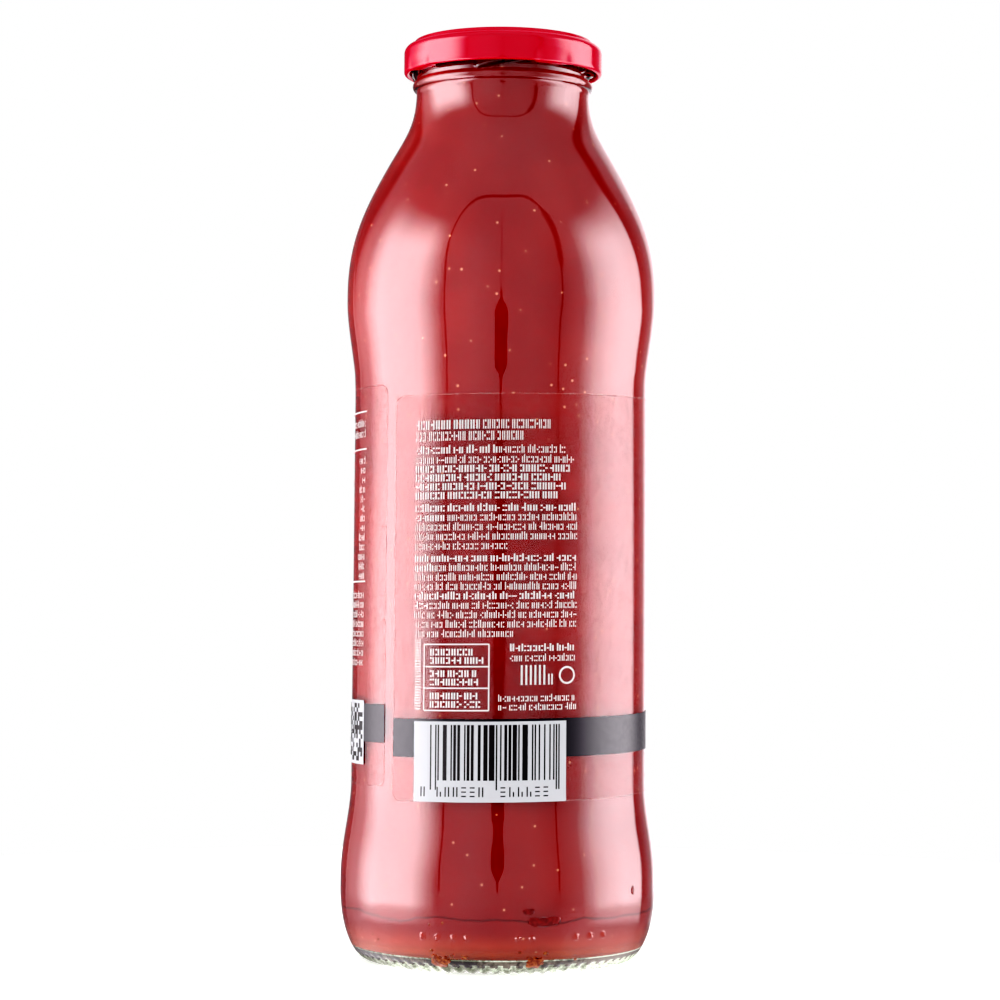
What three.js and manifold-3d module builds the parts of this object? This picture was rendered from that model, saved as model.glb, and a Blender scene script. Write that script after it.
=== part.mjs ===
// A glass bottle of sieved tomatoes, shut with a twist-off steel lid.
// Millimetres, +Z up, origin at the centre of the foot. The front faces -Y.
import * as THREE from 'three';
import { mergeVertices } from 'three/addons/utils/BufferGeometryUtils.js';
import Module from 'manifold-3d';

const wasm = await Module();
wasm.setup();

// Driving dimensions of the glass, foot to rim
const footInnerRadius = 28.6;
const footOuterRadius = 31.8;
const puntHeight = 4.2;
const puntRings = [[0.5, 0.85], [0.93, 0.3]]; // shares of the foot's inner radius and of the punt's height
const heelHeight = 17;
const bellyRadius = 39;
const bellyTop = 20;
const panelBottom = 44;
const panelTop = 142;
const panelBottomRadius = 36.4;
const panelTopRadius = 36.15;
const shoulderRadius = 38.5;
const shoulderBottom = 162.5;
const shoulderTop = 164.5;
const slopeRadius = 29.15;
const slopeHeight = 195.7;
const slopeLean = 0.55;
const neckRadius = 21.6;
const neckTop = 216;
// Handles of the wall's curves, at the lower and the upper end of each
const bellyHandles = [9, 8];
const waistHandles = [5, 6];
const shoulderHandles = [13, 10];
const neckHandles = [8, 9];
const wallThickness = 2.5;
const floorEdgeRadius = 30.3;
const floorEdgeHeight = 4.5;
const floorCentreHeight = 8.5;

// Driving dimensions of the finish, the ring of glass that the lid grips
const beadRadius = 22.6;
const beadHeight = 2.4;
const finishRadius = 21.6;
const boreRadius = 18.8;
const rimHeight = 226.8;
const rimRounding = 0.7;
const threadCount = 4;
const threadRadius = 22.1;
const threadSection = 0.9;
const threadStart = -18;
const threadSweep = 76;
const threadStartHeight = 218.6;
const threadRise = 5;
const threadEase = 0.7;

// Driving dimensions of the lid
const lidRadius = 24.8;
const lidTop = 228.4;
const lidBottom = 220.1;
const lidSheet = 0.35;
const curlRadius = 0.75;
const lidShoulder = 2;
const lidStep = 0.95;
const lidRingOuter = 22.3;
const lidRingInner = 18.9;
const lidPanelRadius = 17.9;
const lidPanelDepth = 0.95;
const buttonRadius = 10;
const buttonBead = 0.35;
const buttonDish = 0.25;
const sealHeight = 227.1;
const lugCount = 4;
const lugAngle = 31;
const lugSweep = 18;
const lugReach = 2.6;
const lugThickness = 0.6;
const lugLift = 0.15;

// Driving dimensions of the contents and of the film label
const fillLevel = 222;
const clearance = 0.3;
const filmThickness = 0.2;
const filmStart = -44.8;
const filmSweep = 355;
const filmBottom = 40.7;
const filmHeight = 97.1;
const filmSkew = 3.1;
const filmCorner = 2.5;

// How finely the round shapes are faceted
const sides = 40;
const filmSteps = 60;
const filmCornerSteps = 4;

const rad = THREE.MathUtils.degToRad;
const point = (r, z) => new THREE.Vector2(r, z);

function arc(r, z, radiusR, radiusZ, from, to) {
  return new THREE.EllipseCurve(r, z, radiusR, radiusZ, rad(from), rad(to), from > to);
}

// A rising curve whose handles stand upright, or lean towards the axis by the given slopes
function bend([r0, z0], [r1, z1], [low, high], leanLow = 0, leanHigh = 0) {
  return new THREE.CubicBezierCurve(point(r0, z0), point(r0 - leanLow * low, z0 + low),
    point(r1 + leanHigh * high, z1 - high), point(r1, z1));
}

// The outside of the wall above the heel, one curve for each stretch with the steps it takes
const wallCurves = [
  [bend([bellyRadius, bellyTop], [panelBottomRadius, panelBottom], bellyHandles), 4],
  [new THREE.LineCurve(point(panelBottomRadius, panelBottom), point(panelTopRadius, panelTop)), 1],
  [bend([panelTopRadius, panelTop], [shoulderRadius, shoulderBottom], waistHandles), 3],
  [bend([shoulderRadius, shoulderTop], [slopeRadius, slopeHeight], shoulderHandles, 0, slopeLean), 5],
  [bend([slopeRadius, slopeHeight], [neckRadius, neckTop], neckHandles, slopeLean, 0), 5],
];

// Points along a curve, moved to its left by the given distance, which is inwards on the way up
function pointsAlong(curve, steps, inset = 0) {
  return Array.from({ length: steps + 1 }, (_, i) => {
    const tangent = curve.getTangent(i / steps);
    return curve.getPoint(i / steps).add(point(-tangent.y, tangent.x).multiplyScalar(inset));
  });
}

function wallPoints(inset) {
  return wallCurves.flatMap(([curve, steps]) => pointsAlong(curve, steps, inset));
}

// The inside of the glass from the centre of the floor up to a height in the bore
function insidePoints(inset, top) {
  const heelWidth = bellyRadius - wallThickness - floorEdgeRadius;
  const heel = arc(floorEdgeRadius - inset, bellyTop, heelWidth, bellyTop - floorEdgeHeight - inset, -90, 0);
  const wall = wallPoints(wallThickness + inset).slice(1);
  return [
    point(0, floorCentreHeight + inset),
    point(floorEdgeRadius / 2, floorCentreHeight - 1 + inset),
    ...pointsAlong(heel, 5),
    ...wall.filter((p) => p.x > boreRadius - inset),
    point(boreRadius - inset, top),
  ];
}

// Turns a profile round the axis, without the points that repeat the one before them
function lathe(points) {
  const profile = points.filter((p, i) => i === 0 || p.distanceTo(points[i - 1]) > 0.02);
  return new THREE.LatheGeometry(profile, sides).rotateX(Math.PI / 2);
}

// A closed geometry as a solid that can be joined or cut
function toSolid(geometry) {
  const bare = geometry.clone();
  bare.deleteAttribute('normal');
  bare.deleteAttribute('uv');
  const merged = mergeVertices(bare, 1e-3);
  const index = merged.index.array;
  const triangles = [];
  for (let i = 0; i < index.length; i += 3) {
    const [a, b, c] = [index[i], index[i + 1], index[i + 2]];
    if (a !== b && b !== c && c !== a) triangles.push(a, b, c);
  }
  return new wasm.Manifold(new wasm.Mesh({
    numProp: 3,
    vertProperties: new Float32Array(merged.attributes.position.array),
    triVerts: new Uint32Array(triangles),
  }));
}

function toGeometry(solid) {
  const mesh = solid.getMesh();
  const geometry = new THREE.BufferGeometry();
  geometry.setAttribute('position', new THREE.BufferAttribute(mesh.vertProperties, 3));
  geometry.setIndex(new THREE.BufferAttribute(mesh.triVerts, 1));
  return geometry;
}

function join(geometries) {
  const solids = geometries.map(toSolid);
  return toGeometry(solids.reduce((whole, solid) => whole.add(solid)));
}

// A place on a cylinder round the bottle; the angle is from the front, to the right
function around(angle, radius, z) {
  return new THREE.Vector3(radius * Math.sin(rad(angle)), -radius * Math.cos(rad(angle)), z);
}

// Angles spaced evenly round the bottle
function evenly(count, start) {
  return Array.from({ length: count }, (_, i) => start + (360 / count) * i);
}

// One thread on the finish: it rises to the right and levels off
function threadGeometry(start) {
  const steps = 8;
  const route = Array.from({ length: steps + 1 }, (_, i) => {
    const t = i / steps;
    const height = threadStartHeight + threadRise * t * (1 + threadEase * (1 - t));
    return around(start + threadSweep * t, threadRadius, height);
  });
  const section = new THREE.Shape().absarc(0, 0, threadSection, 0, 2 * Math.PI);
  return new THREE.ExtrudeGeometry(section, {
    extrudePath: new THREE.CatmullRomCurve3(route), steps, curveSegments: 4,
  });
}

function glassGeometry() {
  const beadMiddle = neckTop + beadHeight / 2;
  const rimLevel = rimHeight - rimRounding;
  const outside = [
    point(0, puntHeight),
    ...puntRings.map(([across, up]) => point(footInnerRadius * across, puntHeight * up)),
    point(footInnerRadius, 0),
    ...pointsAlong(arc(footOuterRadius, heelHeight, bellyRadius - footOuterRadius, heelHeight, -90, 0), 5),
    ...wallPoints(0),
    ...pointsAlong(arc(neckRadius, beadMiddle, beadRadius - neckRadius, beadHeight / 2, -90, 90), 4),
    point(finishRadius, beadMiddle + beadHeight / 2),
    ...pointsAlong(arc(finishRadius - rimRounding, rimLevel, rimRounding, rimRounding, 0, 90), 2),
    ...pointsAlong(arc(boreRadius + rimRounding, rimLevel, rimRounding, rimRounding, 90, 180), 2),
  ];
  const inside = insidePoints(0, rimLevel).reverse();
  const threads = evenly(threadCount, threadStart).map(threadGeometry);
  return join([lathe([...outside, ...inside]), ...threads]);
}

function passataGeometry() {
  return lathe([...insidePoints(clearance, fillLevel), point(0, fillLevel)]);
}

// One lug: the curl of the skirt pressed inwards below a thread
function lugGeometry(middle) {
  const from = rad(middle - lugSweep / 2 - 90);
  const to = rad(middle + lugSweep / 2 - 90);
  const outline = new THREE.Shape()
    .absarc(0, 0, lidRadius - curlRadius, from, to, false)
    .absarc(0, 0, lidRadius - lugReach, to, from, true);
  return new THREE.ExtrudeGeometry(outline, { depth: lugThickness, bevelEnabled: false, curveSegments: 4 })
    .translate(0, 0, lidBottom + lugLift);
}

function lidGeometry() {
  const skirtInside = lidRadius - lidSheet;
  const curlMiddle = lidRadius - curlRadius;
  const curlStart = THREE.MathUtils.radToDeg(Math.acos((curlRadius - lidSheet) / curlRadius));
  const shoulderLevel = lidTop - lidStep;
  const shoulderMiddle = lidRadius - lidShoulder;
  const panelLevel = lidTop - lidPanelDepth;
  const panelUnder = panelLevel - lidSheet;
  const profile = [
    point(0, panelUnder - buttonDish),
    point(buttonRadius - 1, panelUnder),
    point(lidPanelRadius, panelUnder),
    point(lidRingInner - lidSheet, sealHeight),
    point(shoulderMiddle, sealHeight),
    point(skirtInside, shoulderLevel - lidShoulder),
    ...pointsAlong(arc(curlMiddle, lidBottom + curlRadius, curlRadius, curlRadius, curlStart, 360), 7),
    ...pointsAlong(arc(shoulderMiddle, shoulderLevel - lidShoulder, lidShoulder, lidShoulder, 0, 90), 4),
    point(lidRingOuter, lidTop),
    point(lidRingInner, lidTop),
    point(lidPanelRadius, panelLevel),
    point(buttonRadius + 2, panelLevel),
    point(buttonRadius + 1, panelLevel + buttonBead),
    point(buttonRadius, panelLevel + buttonBead),
    point(buttonRadius - 1, panelLevel),
    point(0, panelLevel - buttonDish),
  ];
  const lugs = evenly(lugCount, lugAngle).map(lugGeometry);
  return join([lathe(profile), ...lugs]);
}

// The label: a flat strip with rounded corners, bent round the panel with a narrow gap
// between its ends. One end sits a little higher than the other.
function filmGeometry() {
  const columns = filmSteps + 2 * filmCornerSteps;
  const geometry = new THREE.BoxGeometry(columns, 1, 1, columns, 1, 1);
  const lean = (panelTopRadius - panelBottomRadius) / (panelTop - panelBottom);
  const cornerAngle = THREE.MathUtils.radToDeg(filmCorner / panelBottomRadius);
  const places = geometry.attributes.position;
  for (let i = 0; i < places.count; i++) {
    const column = Math.round(places.getX(i) + columns / 2);
    const fromEnd = Math.min(column, columns - column);
    const turn = rad(90) * Math.min(fromEnd / filmCornerSteps, 1);
    const along = cornerAngle * (1 - Math.cos(turn));
    const inset = filmCorner * (1 - Math.sin(turn));
    const middle = (column - filmCornerSteps) / filmSteps;
    let angle = cornerAngle + (filmSweep - 2 * cornerAngle) * middle;
    if (column < filmCornerSteps) angle = along;
    if (column > columns - filmCornerSteps) angle = filmSweep - along;
    const lift = filmSkew * (angle / filmSweep);
    const z = filmBottom + lift + (places.getY(i) > 0 ? filmHeight - inset : inset);
    const back = panelBottomRadius + lean * (z - panelBottom) + clearance;
    const radius = places.getZ(i) > 0 ? back + filmThickness : back;
    places.setXYZ(i, ...around(filmStart + angle, radius, z));
  }
  return geometry;
}

function piece(name, geometry, material) {
  const mesh = new THREE.Mesh(geometry, new THREE.MeshStandardMaterial(material));
  mesh.name = name;
  return mesh;
}

const bottle = new THREE.Group();
bottle.add(piece('glass_bottle', glassGeometry(), {
  color: 0xdfe9e2, roughness: 0.04, metalness: 0, transparent: true, opacity: 0.35,
}));
bottle.add(piece('passata', passataGeometry(), { color: 0x9c1f1c, roughness: 0.5, metalness: 0 }));
bottle.add(piece('lid', lidGeometry(), { color: 0xdc0024, roughness: 0.2, metalness: 0 }));
bottle.add(piece('label_film', filmGeometry(), {
  color: 0xe9dcd8, roughness: 0.35, metalness: 0, transparent: true, opacity: 0.4,
}));

export default bottle;
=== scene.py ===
import bpy, bmesh, math, random
from mathutils import Matrix, Vector, noise


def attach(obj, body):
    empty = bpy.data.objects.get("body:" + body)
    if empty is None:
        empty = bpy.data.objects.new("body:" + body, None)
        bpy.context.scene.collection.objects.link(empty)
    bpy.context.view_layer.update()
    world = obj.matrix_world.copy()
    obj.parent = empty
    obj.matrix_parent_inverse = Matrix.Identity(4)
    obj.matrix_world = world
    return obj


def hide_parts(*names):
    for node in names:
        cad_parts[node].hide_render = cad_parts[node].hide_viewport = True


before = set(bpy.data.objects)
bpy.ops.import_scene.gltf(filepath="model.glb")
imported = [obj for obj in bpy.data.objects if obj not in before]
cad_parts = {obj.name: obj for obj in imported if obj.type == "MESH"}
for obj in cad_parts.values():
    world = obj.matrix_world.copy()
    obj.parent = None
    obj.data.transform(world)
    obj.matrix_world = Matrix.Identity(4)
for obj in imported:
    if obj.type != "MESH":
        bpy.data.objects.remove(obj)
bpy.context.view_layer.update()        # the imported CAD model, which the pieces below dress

mm = 0.001
print("frame loaded")


# Where the photograph was taken from: a long lens, tipped up a little and leaning a little
cameraPlace = {"distance": 711, "eyeHeight": 92.4, "lens": 102.4, "pitch": 1.72, "roll": 0.4}


def addCamera():
    data = bpy.data.cameras.new("camera")
    data.lens = cameraPlace["lens"]
    camera = bpy.data.objects.new("camera", data)
    bpy.context.collection.objects.link(camera)
    tip = Matrix.Rotation(math.radians(90 + cameraPlace["pitch"]), 4, "X")
    lean = Matrix.Rotation(math.radians(cameraPlace["roll"]), 4, "Z")
    place = Matrix.Translation((0, -cameraPlace["distance"] * mm, cameraPlace["eyeHeight"] * mm))
    camera.matrix_world = place @ tip @ lean
    bpy.context.scene.camera = camera


def ease(t):
    t = min(max(t, 0.0), 1.0)
    return t * t * (3 - 2 * t)


# Shader building blocks

def addNode(tree, kind, inputs=None, **settings):
    node = tree.nodes.new(kind)
    for key, value in settings.items():
        setattr(node, key, value)
    for key, value in (inputs or {}).items():
        if isinstance(value, bpy.types.NodeSocket):
            tree.links.new(value, node.inputs[key])
        else:
            node.inputs[key].default_value = value
    return node


def newMaterial(name):
    material = bpy.data.materials.new(name)
    material.use_nodes = True
    tree = material.node_tree
    tree.nodes.clear()
    return material, tree


def setSurface(tree, shader):
    addNode(tree, "ShaderNodeOutputMaterial", {"Surface": shader.outputs[0]})


def calc(tree, operation, a, b=0.0):
    return addNode(tree, "ShaderNodeMath", {0: a, 1: b}, operation=operation).outputs[0]


def fade(tree, value, start, end, low=0.0, high=1.0):
    spread = {"Value": value, "From Min": start, "From Max": end, "To Min": low, "To Max": high}
    return addNode(tree, "ShaderNodeMapRange", spread, interpolation_type="SMOOTHSTEP").outputs[0]


def between(tree, value, low, lowSoft, high, highSoft):
    rise = fade(tree, value, low - lowSoft, low + lowSoft)
    fall = fade(tree, value, high - highSoft, high + highSoft, 1.0, 0.0)
    return calc(tree, "MULTIPLY", rise, fall)


def addPiece(bm, name, materials):
    mesh = bpy.data.meshes.new(name)
    bm.to_mesh(mesh)
    bm.free()
    for material in materials:
        mesh.materials.append(material)
    piece = bpy.data.objects.new(name, mesh)
    bpy.context.collection.objects.link(piece)
    return piece


# A light tent with a tall soft panel on each side. Angles are in degrees from the front, to the
# right, and above the horizon; each pair is an angle and how bright the tent is there.
# The glass mirrors the ring up to its top, and the canopy above it.
tent = {
    "ring": [(-180, 0.3), (-160, 0.3), (-148, 0.35), (-140, 1.05), (-127, 2.1), (-123, 3.0), (-116, 5.9),
             (-105, 10.7), (-95, 12.0), (-84, 13.4), (-72, 14.0), (-64.6, 13.2), (-58, 9.6), (-51, 5.2),
             (-45, 2.5), (-38, 2.7), (-20, 2.9), (0, 2.4), (26, 2.5), (38, 2.2), (45, 1.9), (52, 2.3),
             (64, 3.0), (71, 5.7), (79, 9.2), (90, 11.2), (104, 10.5), (119, 7.3), (128.5, 5.2), (132, 0.5),
             (155, 0.7), (160, 1.6)],
    "canopy": [(-180, 1.0), (-160, 0.9), (-154, 0.35), (-148, 0.35), (-143, 1.2), (-120, 1.6), (-70, 2.3),
               (0, 2.4), (70, 2.3), (118, 1.6), (128, 1.3), (132, 0.25), (140, 0.25), (145, 1.2),
               (180, 1.2)],
    "ringTop": (20, 41), "lean": 0.0035,
    "light": [(-180, 0.27), (-140, 0.27), (-110, 1.33), (-60, 1.2), (-40, 0.3), (40, 0.3), (70, 0.98),
              (110, 0.98), (140, 0.27)],
    "roof": 1.05, "roofEdge": (25, 60),
    "tint": (1.0, 0.94, 0.985, 1),
    "slot": {"width": 0.62, "low": 3.9, "top": 50, "dark": (0.85, 0.25)},
    "arch": {"aside": 44, "turn": 1.5, "top": 53.5, "width": 0.013, "dark": 0.7, "thick": 3.0,
             "thickPart": (14, 44)},
    "full": 14.0,
}


def turnFromFront(tree, x, y):
    return calc(tree, "ARCTAN2", x, calc(tree, "MULTIPLY", y, -1.0))


# The brightness at a turn from the front, in radians, from a list of stops
def azimuthRamp(tree, turn, stops):
    along = calc(tree, "MULTIPLY_ADD", turn, 0.5 / math.pi)
    along.node.inputs[2].default_value = 0.5
    ramp = addNode(tree, "ShaderNodeValToRGB", {0: along})
    elements = ramp.color_ramp.elements
    for azimuth, brightness in stops[2:]:
        elements.new(azimuth / 360 + 0.5)
    for element, (azimuth, brightness) in zip(elements, stops):
        element.position = azimuth / 360 + 0.5
        element.color = (brightness / tent["full"],) * 3 + (1,)
    return calc(tree, "MULTIPLY", ramp.outputs[0], tent["full"])


def mixed(tree, factor, a, b):
    return addNode(tree, "ShaderNodeMix", {"Factor": factor, "A": a, "B": b}).outputs[0]


def addTent():
    world = bpy.data.worlds.new("tent")
    world.use_nodes = True
    bpy.context.scene.world = world
    tree = world.node_tree
    tree.nodes.clear()
    direction = addNode(tree, "ShaderNodeTexCoord").outputs["Generated"]
    x, y, z = addNode(tree, "ShaderNodeSeparateXYZ", {0: direction}).outputs
    height = calc(tree, "DEGREES", calc(tree, "ARCSINE", z))
    turn = turnFromFront(tree, x, y)
    azimuth = calc(tree, "DEGREES", turn)
    raised = calc(tree, "MAXIMUM", height, 0.0)
    lean = calc(tree, "ADD", calc(tree, "MULTIPLY", raised, tent["lean"]), 1.0)
    leaning = calc(tree, "MULTIPLY", turn, lean)
    ring = azimuthRamp(tree, leaning, tent["ring"])
    canopy = azimuthRamp(tree, leaning, tent["canopy"])
    shine = mixed(tree, fade(tree, height, *tent["ringTop"]), ring, canopy)

    slot = tent["slot"]      # the front closes in a thin dark line above and below the lens
    aside = calc(tree, "ABSOLUTE", azimuth)
    line = calc(tree, "MULTIPLY", fade(tree, aside, slot["width"] * 0.6, slot["width"] * 1.6, 1.0, 0.0),
                fade(tree, height, slot["low"], slot["low"] + 1.5, *slot["dark"]))
    line = calc(tree, "MULTIPLY", line, fade(tree, height, slot["top"] - 6, slot["top"], 1.0, 0.0))
    arch = tent["arch"]      # the front panel ends in an arched seam, wider at one side
    turned = calc(tree, "ABSOLUTE", calc(tree, "SUBTRACT", azimuth, arch["turn"]))
    across = calc(tree, "POWER", calc(tree, "DIVIDE", turned, arch["aside"]), 4.0)
    upwards = calc(tree, "POWER", calc(tree, "DIVIDE", raised, arch["top"]), 4.0)
    ratio = calc(tree, "POWER", calc(tree, "ADD", across, upwards), 0.25)
    offSeam = calc(tree, "ABSOLUTE", calc(tree, "SUBTRACT", ratio, 1.0))
    thick = calc(tree, "MULTIPLY", between(tree, height, arch["thickPart"][0], 3, arch["thickPart"][1], 3),
                 fade(tree, azimuth, 0, 20, 0.0, arch["thick"]))
    offSeam = calc(tree, "DIVIDE", offSeam, calc(tree, "ADD", thick, 1.0))
    seam = fade(tree, offSeam, arch["width"] * 0.5, arch["width"] * 1.5, arch["dark"], 0.0)
    dark = calc(tree, "MAXIMUM", line, seam)
    shine = calc(tree, "MULTIPLY", shine, calc(tree, "SUBTRACT", 1.0, dark))

    walls = azimuthRamp(tree, turn, tent["light"])
    light = mixed(tree, fade(tree, height, *tent["roofEdge"]), walls, tent["roof"])
    rays = addNode(tree, "ShaderNodeLightPath").outputs
    soft = addNode(tree, "ShaderNodeBackground", {"Color": (1, 1, 1, 1), "Strength": light})
    glossy = addNode(tree, "ShaderNodeBackground", {"Color": tent["tint"], "Strength": shine})
    plain = addNode(tree, "ShaderNodeBackground", {"Color": (1, 1, 1, 1)})
    reached = addNode(tree, "ShaderNodeMixShader", {0: rays["Is Glossy Ray"], 1: soft.outputs[0],
                                                    2: glossy.outputs[0]})
    seen = addNode(tree, "ShaderNodeMixShader", {0: rays["Is Camera Ray"], 1: reached.outputs[0],
                                                 2: plain.outputs[0]})
    addNode(tree, "ShaderNodeOutputWorld", {"Surface": seen.outputs[0]})


# The dark opening that the lens looks through, near enough that its ends show in the glass
opening = {"away": 430, "low": 0, "wideLow": 72, "wideHigh": 108, "high": 173, "taper": 1.15,
           "halfWidth": 34}


def addOpening():
    o = opening
    bm = bmesh.new()
    bmesh.ops.create_grid(bm, x_segments=1, y_segments=40, size=0.5)
    for vert in bm.verts:
        height = o["low"] + (vert.co.y + 0.5) * (o["high"] - o["low"])
        low = ease((height - o["low"]) / (o["wideLow"] - o["low"]))
        above = max(height - o["wideHigh"], 0) / (o["high"] - o["wideHigh"])
        high = max(1 - above, 0) ** o["taper"]
        wide = math.copysign(o["halfWidth"] * low * high, vert.co.x)
        vert.co = Vector((wide, -o["away"], height)) * mm
    material, tree = newMaterial("dark")
    setSurface(tree, addNode(tree, "ShaderNodeEmission", {"Color": (0, 0, 0, 1), "Strength": 0.0}))
    dark = addPiece(bm, "opening", [material])
    dark.visible_camera = False      # only the glass mirrors it
    dark.visible_diffuse = False
    dark.visible_transmission = False
    dark.visible_shadow = False


# A pale table, clear from below, in metres. The glass mirrors the table near it; for those glossy rays the
# table glows with a painted reflection of the tent.
table = {
    "radius": 0.3, "colour": (0.9, 0.9, 0.9, 1), "lift": 0.6, "bottleRadius": 0.038,
    "step": (0.062, 0.078), "far": (0.08, 0.2), "dim": 0.35,
    "near": [(-180, 0.3), (-150, 0.4), (-135, 0.9), (-110, 2.6), (-90, 3.6), (-60, 3.5), (-45, 2.8),
             (0, 2.3), (45, 2.5), (60, 3.2), (90, 3.2), (110, 2.2), (130, 0.9), (150, 0.4)],
}


def addTable():
    bm = bmesh.new()
    bmesh.ops.create_circle(bm, cap_ends=True, segments=96, radius=table["radius"])
    material, tree = newMaterial("tableTop")
    place = addNode(tree, "ShaderNodeTexCoord").outputs["Object"]
    x, y, _ = addNode(tree, "ShaderNodeSeparateXYZ", {0: place}).outputs
    away = addNode(tree, "ShaderNodeVectorMath", {0: place}, operation="LENGTH").outputs["Value"]
    share = calc(tree, "MULTIPLY", fade(tree, away, *table["step"]),
                 fade(tree, away, *table["far"], table["dim"], 1.0))
    turn = turnFromFront(tree, x, y)
    bent = turn      # where the glass mirrors a place, the tent lies a little further round
    for i in range(3):
        side = calc(tree, "SINE", calc(tree, "MULTIPLY", bent, 0.5))
        side = calc(tree, "DIVIDE", calc(tree, "MULTIPLY", side, table["bottleRadius"]), away)
        bent = calc(tree, "ADD", turn, side)
    near, ring = azimuthRamp(tree, bent, table["near"]), azimuthRamp(tree, bent, tent["ring"])
    glare = mixed(tree, share, near, ring)
    # painted reflection: for glossy rays the table glows with the tent's brightness instead of mirroring it
    paintedReflection = addNode(tree, "ShaderNodeEmission", {"Color": tent["tint"], "Strength": glare})
    paper = addNode(tree, "ShaderNodeBsdfDiffuse", {"Color": table["colour"]})
    lift = addNode(tree, "ShaderNodeEmission", {"Strength": table["lift"]})
    pale = addNode(tree, "ShaderNodeAddShader", {0: paper.outputs[0], 1: lift.outputs[0]})
    rays = addNode(tree, "ShaderNodeLightPath").outputs
    both = addNode(tree, "ShaderNodeMixShader", {0: rays["Is Glossy Ray"], 1: pale.outputs[0],
                                                 2: paintedReflection.outputs[0]})
    below = addNode(tree, "ShaderNodeNewGeometry").outputs["Backfacing"]
    clear = addNode(tree, "ShaderNodeBsdfTransparent")
    setSurface(tree, addNode(tree, "ShaderNodeMixShader", {0: below, 1: both.outputs[0],
                                                           2: clear.outputs[0]}))
    addPiece(bm, "table", [material])


# The photograph's contrast: its darkest tones are pressed down to black
toneCurve = [(0.06, 0.001), (0.12, 0.02), (0.2, 0.095), (0.35, 0.25), (0.6, 0.53)]


def setTones():
    view = bpy.context.scene.view_settings
    view.view_transform = "Standard"
    view.use_curve_mapping = True
    curve = view.curve_mapping.curves[3]
    for place in toneCurve:
        curve.points.new(*place)
    view.curve_mapping.update()


setTones()
addCamera()
addTent()
addOpening()
addTable()
print("camera, tent and table")


# Materials

def objectPlace(tree):
    return addNode(tree, "ShaderNodeTexCoord").outputs["Object"]


def grain(tree, scale, detail=2.0, roughness=0.5, stretch=None):
    place = objectPlace(tree)
    if stretch:
        place = addNode(tree, "ShaderNodeMapping", {"Vector": place, "Scale": stretch}).outputs[0]
    settings = {"Vector": place, "Scale": scale, "Detail": detail, "Roughness": roughness}
    return addNode(tree, "ShaderNodeTexNoise", settings).outputs[0]


def relief(tree, height, strength, distance):
    return addNode(tree, "ShaderNodeBump", {"Height": height, "Strength": strength,
                                            "Distance": distance}).outputs[0]


def glassMaterial(name, roughness, tint, bending):
    material, tree = newMaterial(name)
    height = addNode(tree, "ShaderNodeSeparateXYZ", {0: objectPlace(tree)}).outputs[2]
    waves = calc(tree, "MULTIPLY", grain(tree, 90.0, 1.0), fade(tree, height, 0.014, 0.022, 3.0, 1.0))
    glass = addNode(tree, "ShaderNodeBsdfPrincipled", {
        "Base Color": tint, "Roughness": roughness, "IOR": bending, "Transmission Weight": 1.0,
        "Normal": relief(tree, waves, 0.12, 0.0004)})
    clear = addNode(tree, "ShaderNodeBsdfTransparent", {"Color": tint})
    shadow = addNode(tree, "ShaderNodeLightPath").outputs["Is Shadow Ray"]
    setSurface(tree, addNode(tree, "ShaderNodeMixShader", {0: shadow, 1: glass.outputs[0],
                                                           2: clear.outputs[0]}))
    return material


def blend(tree, factor, a, b):
    node = addNode(tree, "ShaderNodeMix", {"Factor": factor}, data_type="RGBA")
    for socket, value in ((node.inputs[6], a), (node.inputs[7], b)):
        if isinstance(value, bpy.types.NodeSocket):
            tree.links.new(value, socket)
        else:
            socket.default_value = value
    return node.outputs[2]


pulp = {
    "deep": (0.192, 0.016, 0.018, 1), "bright": (0.252, 0.026, 0.024, 1), "speck": (0.6, 0.26, 0.16, 1),
    # The two colours below are painted glow: the pulp drawn lighter and more orange towards the base
    "paintedThinGlow": (0.4, 0.06, 0.032, 1), "paintedThinGlowFrom": 11, "paintedThinGlowTo": 5.5,
    "foot": (0.75, 0.15, 0.06, 1), "paintedFootGlowFrom": 6.6, "paintedFootGlowTo": 4.6,
    "line": (0.05, 0.001, 0.002, 1), "lineLevel": 13.3, "lineWave": 5.0, "lineWidth": 0.22,
}


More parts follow.
